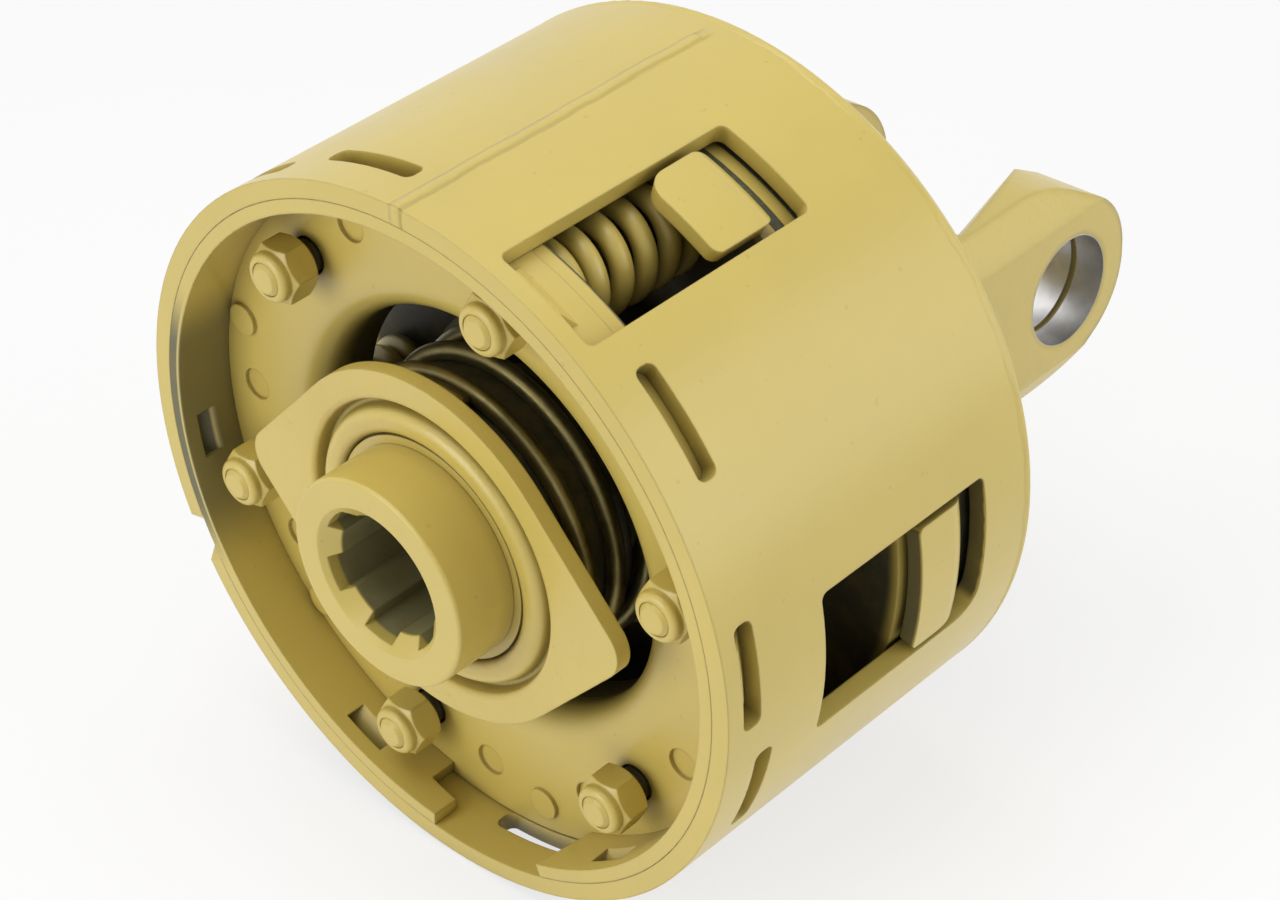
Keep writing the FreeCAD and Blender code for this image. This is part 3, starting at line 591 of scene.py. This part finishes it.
def thread_ridge(mesh, centre, radius, depth, pitch, span, steps=24):
    """Adds a screw thread's ridge round a line along Y."""
    start, end = span
    turns = (end - start) / pitch - 1
    count = int(turns * steps)
    root = centre + Vector((radius - depth, start - centre.y, 0))
    crest_start, crest_end, foot = (share * pitch for share in THREAD_PROFILE)
    corners = [mesh.verts.new(root + Vector(offset)) for offset in (
        (0, 0, 0), (depth, crest_start, 0), (depth, crest_end, 0), (0, foot, 0))]
    face = mesh.faces.new(corners)
    geometry = corners + list(face.edges) + [face]
    bmesh.ops.spin(mesh, geom=geometry, cent=centre, axis=-AXIS, dvec=AXIS * (pitch * turns / count),
                   angle=math.tau * turns, steps=count, use_duplicate=False)


# Settings


class ClutchFinish(bpy.types.PropertyGroup):
    """Colours of the clutch's surfaces."""

    paint_color: FloatVectorProperty(
        name="Paint", description="Dull yellow paint", subtype="COLOR", size=3,
        default=(0.575, 0.445, 0.103), min=0.0, max=1.0)
    # Painted shade in corners and gaps; also the colour of the grime specks and of the dust on bare steel
    shade_and_grime_color: FloatVectorProperty(
        name="Grime", description="Paint in corners and gaps", subtype="COLOR", size=3,
        default=(0.17, 0.125, 0.03), min=0.0, max=1.0)
    # Dark bare steel, which also gives the painted shade in deep gaps and inside the drum
    bare_and_shade_color: FloatVectorProperty(
        name="Bare steel", description="Dark steel where the paint did not reach", subtype="COLOR", size=3,
        default=(0.042, 0.037, 0.017), min=0.0, max=1.0)
    lining_color: FloatVectorProperty(
        name="Lining", description="Friction lining", subtype="COLOR", size=3,
        default=(0.062, 0.068, 0.040), min=0.0, max=1.0)
    wire_color: FloatVectorProperty(
        name="Collar spring", description="Oiled wire of the collar's spring", subtype="COLOR", size=3,
        default=(0.24, 0.20, 0.08), min=0.0, max=1.0)
    steel_color: FloatVectorProperty(
        name="Steel", description="Machined steel of bores and balls", subtype="COLOR", size=3,
        default=(0.55, 0.54, 0.53), min=0.0, max=1.0)


class ClutchSizes(bpy.types.PropertyGroup):
    """Sizes of the pieces that are made here."""

    spring_wire: FloatProperty(
        name="Spring wire", description="Wire radius of the heavy springs", unit="LENGTH",
        default=2.65 * MM, min=1 * MM, max=4 * MM)
    spring_turns: FloatProperty(
        name="Spring turns", description="Turns of a heavy spring with its closed ends",
        default=5.75, min=4.0, max=8.0)
    collar_wire: FloatProperty(
        name="Collar spring wire", description="Wire radius of the collar's spring", unit="LENGTH",
        default=2.3 * MM, min=1 * MM, max=3 * MM)
    collar_turns: FloatProperty(
        name="Collar spring turns", description="Turns of the collar's spring",
        default=4.0, min=3.0, max=7.0)
    lip_radius: FloatProperty(
        name="Lip radius", description="Inner radius of the front plate's drawn lip", unit="LENGTH",
        default=51.05 * MM, min=50 * MM, max=53 * MM)
    lip_wall: FloatProperty(
        name="Lip wall", description="Wall of the front plate's drawn lip", unit="LENGTH",
        default=3.7 * MM, min=2 * MM, max=5 * MM)
    lip_length: FloatProperty(
        name="Lip length", description="How far the lip runs on behind the plate", unit="LENGTH",
        default=9.0 * MM, min=0.0, max=12 * MM)
    thread_pitch: FloatProperty(
        name="Thread pitch", description="Pitch of the studs' thread", unit="LENGTH",
        default=1.25 * MM, min=1 * MM, max=2 * MM)
    wire_sides: IntProperty(
        name="Wire sides", description="Faces round a spring's wire", default=16, min=8, max=32)


# Operators


FINISH_OF = {
    "drum_shell": "shell", "rear_flange": "shell", "yoke": "yoke",
    "setting_ring": "ring", "hub": "hub", "pull_collar": "collar",
    "pressure_plate": "lugs", "driver_plate": "driver", "front_plate": "front_plate",
    "front_inner_plate": "disc", "rear_inner_plate": "plate", "spring_seat": "plate",
    "hub_circlip": "steel", "thrust_washer": "steel", "hub_bush": "bronze",
}
FAMILY_FINISH = {"lining": "lining", "locking_ball": "steel", "nut_insert": "nylon", "stud": "stud"}


def finish_of(name):
    """Which finish a CAD piece has."""
    family = name.rstrip("0123456789_")
    return FINISH_OF.get(name) or FAMILY_FINISH.get(family, "paint")


class CLUTCH_OT_finish_nodes(bpy.types.Operator):
    """Give every CAD piece its finish"""

    bl_idname = "clutch.finish_nodes"
    bl_label = "Finish the pieces"

    def execute(self, context):
        finish = context.scene.clutch_finish
        finishes = {
            "paint": paint_material(finish, "clutch_paint", reach=0.35),
            # The drum's paint turns dark inside the drum: bare steel and painted shade
            "shell": paint_material(finish, "drum_paint", drum_bare_and_shade, weld_relief),
            "lugs": paint_material(finish, "lug_paint", bare_off_lugs, reach=0.45),
            "driver": paint_material(finish, "driver_paint", bare_driver_lugs, metal=DRIVER_STEEL),
            "disc": paint_material(finish, "disc_paint", bare_disc, reach=0.6),
            "front_plate": paint_material(finish, "front_plate_paint", bare_behind_plate, reach=0.3),
            "hub": paint_material(finish, "hub_paint", bare_in_hub, reach=0.35, metal=HUB_STEEL),
            # The setting ring's inside gets painted shade on its -X side
            "ring": paint_material(finish, "ring_paint", ring_painted_shade, metal=RING_SHADE_COLOUR),
            "collar": paint_material(finish, "collar_paint", bare_collar_sleeve, forged_relief),
            "stud": paint_material(finish, "stud_paint", bare_thread),
            "yoke": yoke_material(finish),
            "lining": lining_material(finish),
            "plate": steel_material("plate_steel", PLATE_STEEL, 0.5),
            "steel": steel_material("ball_steel", finish.steel_color, 0.25),
            "bronze": steel_material("bush_bronze", BUSH_BRONZE, 0.4),
            "nylon": nylon_material(),
        }
        for name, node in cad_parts.items():
            node.data.materials.clear()
            node.data.materials.append(finishes[finish_of(name)])
        return {"FINISHED"}


class CLUTCH_OT_heavy_springs(bpy.types.Operator):
    """Wind the six heavy springs round their studs"""

    bl_idname = "clutch.heavy_springs"
    bl_label = "Heavy springs"

    def execute(self, context):
        sizes = context.scene.clutch_sizes
        material = paint_material(context.scene.clutch_finish, "spring_paint", spring_bare_side_and_shade, reach=0.1)
        for number in range(1, SPRINGS + 1):
            node = "spring_%d" % number
            stud = middle("stud_%d" % number)
            radius = half_width(node) - sizes.spring_wire
            span = axis_span(node)
            mesh = bmesh.new()
            wound_spring(mesh, stud, radius, sizes.spring_wire, span, sizes.spring_turns,
                         HEAVY_SPRING_START, sizes.wire_sides)
            flatten_ends(mesh, span)
            new_piece("heavy_spring_%d" % number, mesh, material, "drum_body", (node,))
        return {"FINISHED"}


class CLUTCH_OT_plate_lip(bpy.types.Operator):
    """Draw the front plate's opening a little further to the rear"""

    bl_idname = "clutch.plate_lip"
    bl_label = "Front plate's lip"

    def execute(self, context):
        sizes = context.scene.clutch_sizes
        end = axis_span("front_plate")[1]
        outer = sizes.lip_radius + sizes.lip_wall
        rear = end + sizes.lip_length
        round_corner = sizes.lip_wall / 2
        mesh = bmesh.new()
        start = end - LIP_SUNK
        profile = ((sizes.lip_radius, start), (sizes.lip_radius, rear - round_corner),
                   (sizes.lip_radius + round_corner, rear), (outer, rear - round_corner), (outer, start))
        corners = [mesh.verts.new((radius, place, 0)) for radius, place in profile]
        edges = [mesh.edges.new(pair) for pair in zip(corners, corners[1:])]
        bmesh.ops.spin(mesh, geom=corners + edges, cent=(0, 0, 0), axis=AXIS, angle=math.tau,
                       steps=LIP_STEPS, use_merge=True, use_duplicate=False)
        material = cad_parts["front_plate"].data.materials[0]
        new_piece("front_plate_lip", mesh, material, "drum_body")
        return {"FINISHED"}


class CLUTCH_OT_collar_spring(bpy.types.Operator):
    """Wind the light spring behind the pull collar"""

    bl_idname = "clutch.collar_spring"
    bl_label = "Collar spring"

    def execute(self, context):
        sizes = context.scene.clutch_sizes
        material = steel_material("collar_wire", context.scene.clutch_finish.wire_color, 0.35)
        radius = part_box("collar_spring")[1][0] - sizes.collar_wire
        span = axis_span("collar_spring")
        mesh = bmesh.new()
        wound_spring(mesh, Vector((0, 0, 0)), radius, sizes.collar_wire, span, sizes.collar_turns,
                     COLLAR_SPRING_START, sizes.wire_sides, COLLAR_SPRING_STEPS)
        new_piece("collar_spring_wire", mesh, material, "hub_body", ("collar_spring",))
        return {"FINISHED"}


class CLUTCH_OT_stud_threads(bpy.types.Operator):
    """Cut the thread on each stud, bare and dark behind its nut"""

    bl_idname = "clutch.stud_threads"
    bl_label = "Stud threads"

    def execute(self, context):
        sizes = context.scene.clutch_sizes
        material = steel_material("thread_steel", THREAD_STEEL, 0.4)
        for number in range(1, SPRINGS + 1):
            node = "stud_%d" % number
            nut_end = axis_span("lock_nut_%d" % number)[1]
            mesh = bmesh.new()
            thread_ridge(mesh, middle(node), half_width(node) + THREAD_ABOVE_STUD, THREAD_DEPTH,
                         sizes.thread_pitch, (nut_end + THREAD_BEHIND_NUT, nut_end + THREAD_REACH))
            new_piece("stud_thread_%d" % number, mesh, material, "pressure_body")
        return {"FINISHED"}


class CLUTCH_OT_stage(bpy.types.Operator):
    """Set the floor, the soft lamps, the white background and the camera"""

    bl_idname = "clutch.stage"
    bl_label = "Stage"

    def execute(self, context):
        build_floor()
        build_world()
        build_lamps()
        build_camera()
        context.scene.view_settings.view_transform = "Standard"
        return {"FINISHED"}


def build_floor():
    """Large white floor just under the drum that keeps a soft shadow."""
    mesh = bmesh.new()
    bmesh.ops.create_grid(mesh, x_segments=1, y_segments=1, size=FLOOR_HALF,
                          matrix=Matrix.Translation((0, 0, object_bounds()[0][2] - FLOOR_GAP)))
    data = bpy.data.meshes.new("floor")
    mesh.to_mesh(data)
    mesh.free()
    floor = bpy.data.objects.new("floor", data)
    bpy.context.scene.collection.objects.link(floor)
    shader = Shader.new("floor_white")
    white = shader.node("ShaderNodeBsdfDiffuse", None, {"Color": (0.92, 0.92, 0.92, 1.0)})[0]
    glow = shader.node("ShaderNodeEmission", None, {"Color": (1.0, 1.0, 1.0, 1.0), "Strength": 1.0})[0]
    path = shader.node("ShaderNodeLightPath")
    seen = shader.larger(path["Is Camera Ray"], path["Is Glossy Ray"])
    both = shader.node("ShaderNodeMixShader", None, {0: seen * FLOOR_GLOW, 1: white, 2: glow})[0]
    data.materials.append(shader.surface(both))
    floor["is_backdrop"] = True


def build_world():
    """White surroundings: dim light for the object, pure white for the camera and in reflections."""
    world = bpy.data.worlds.new("soft_white")
    bpy.context.scene.world = world
    world.use_nodes = True
    nodes = world.node_tree.nodes
    links = world.node_tree.links
    nodes.clear()
    output = nodes.new("ShaderNodeOutputWorld")
    path = nodes.new("ShaderNodeLightPath")
    dim = nodes.new("ShaderNodeBackground")
    dim.inputs["Strength"].default_value = WORLD_LIGHT
    bright = nodes.new("ShaderNodeBackground")
    bright.inputs["Strength"].default_value = 1.0
    for background in (dim, bright):
        background.inputs["Color"].default_value = (1.0, 1.0, 1.0, 1.0)
    blend = nodes.new("ShaderNodeMixShader")
    either = nodes.new("ShaderNodeMath")
    either.operation = "MAXIMUM"
    links.new(path.outputs["Is Camera Ray"], either.inputs[0])
    links.new(path.outputs["Is Glossy Ray"], either.inputs[1])
    links.new(either.outputs[0], blend.inputs[0])
    links.new(dim.outputs[0], blend.inputs[1])
    links.new(bright.outputs[0], blend.inputs[2])
    links.new(blend.outputs[0], output.inputs["Surface"])


def soft_lamp(name, place, size, power):
    """Large square lamp that points at the clutch."""
    data = bpy.data.lights.new(name, "AREA")
    data.shape = "SQUARE"
    data.size = size
    data.energy = power
    lamp = bpy.data.objects.new(name, data)
    lamp.location = place
    lamp.rotation_euler = (Vector(LAMP_AIM) - Vector(place)).to_track_quat("-Z", "Y").to_euler()
    bpy.context.scene.collection.objects.link(lamp)


def build_lamps():
    """Soft studio lamps above, at the left front and at the right rear."""
    for name, place, size, power in LAMPS:
        soft_lamp(name, place, size, power)


def build_camera():
    """Camera at the photograph's viewpoint."""
    data = bpy.data.cameras.new("camera")
    data.sensor_width = 36.0
    data.lens = CAMERA_LENS
    camera = bpy.data.objects.new("camera", data)
    look = (CAMERA_AIM - CAMERA_PLACE).to_track_quat("-Z", "Y").to_matrix().to_4x4()
    turned = look @ Matrix.Rotation(CAMERA_ROLL, 4, "Z")
    camera.matrix_world = Matrix.Translation(CAMERA_PLACE) @ turned
    bpy.context.scene.collection.objects.link(camera)
    bpy.context.scene.camera = camera


class CLUTCH_PT_panel(bpy.types.Panel):
    """Clutch settings and the steps that make it"""

    bl_idname = "CLUTCH_PT_panel"
    bl_label = "Friction Slip Clutch"
    bl_space_type = "VIEW_3D"
    bl_region_type = "UI"
    bl_category = "Clutch"

    def draw(self, context):
        layout = self.layout
        for group in (context.scene.clutch_finish, context.scene.clutch_sizes):
            for key in group.__annotations__:
                layout.prop(group, key)
        for step in STEPS:
            layout.operator(step.bl_idname)


STEPS = (
    CLUTCH_OT_finish_nodes,
    CLUTCH_OT_plate_lip,
    CLUTCH_OT_heavy_springs,
    CLUTCH_OT_collar_spring,
    CLUTCH_OT_stud_threads,
    CLUTCH_OT_stage,
)
CLASSES = (ClutchFinish, ClutchSizes) + STEPS + (CLUTCH_PT_panel,)


def register():
    for kind in CLASSES:
        bpy.utils.register_class(kind)
    bpy.types.Scene.clutch_finish = PointerProperty(type=ClutchFinish)
    bpy.types.Scene.clutch_sizes = PointerProperty(type=ClutchSizes)


def unregister():
    del bpy.types.Scene.clutch_sizes
    del bpy.types.Scene.clutch_finish
    for kind in reversed(CLASSES):
        bpy.utils.unregister_class(kind)


def main():
    """Finishes the clutch step by step."""
    register()
    bpy.ops.clutch.finish_nodes()
    bpy.ops.clutch.plate_lip()
    bpy.ops.clutch.heavy_springs()
    bpy.ops.clutch.collar_spring()
    bpy.ops.clutch.stud_threads()
    bpy.ops.clutch.stage()


if __name__ == "__main__":
    main()
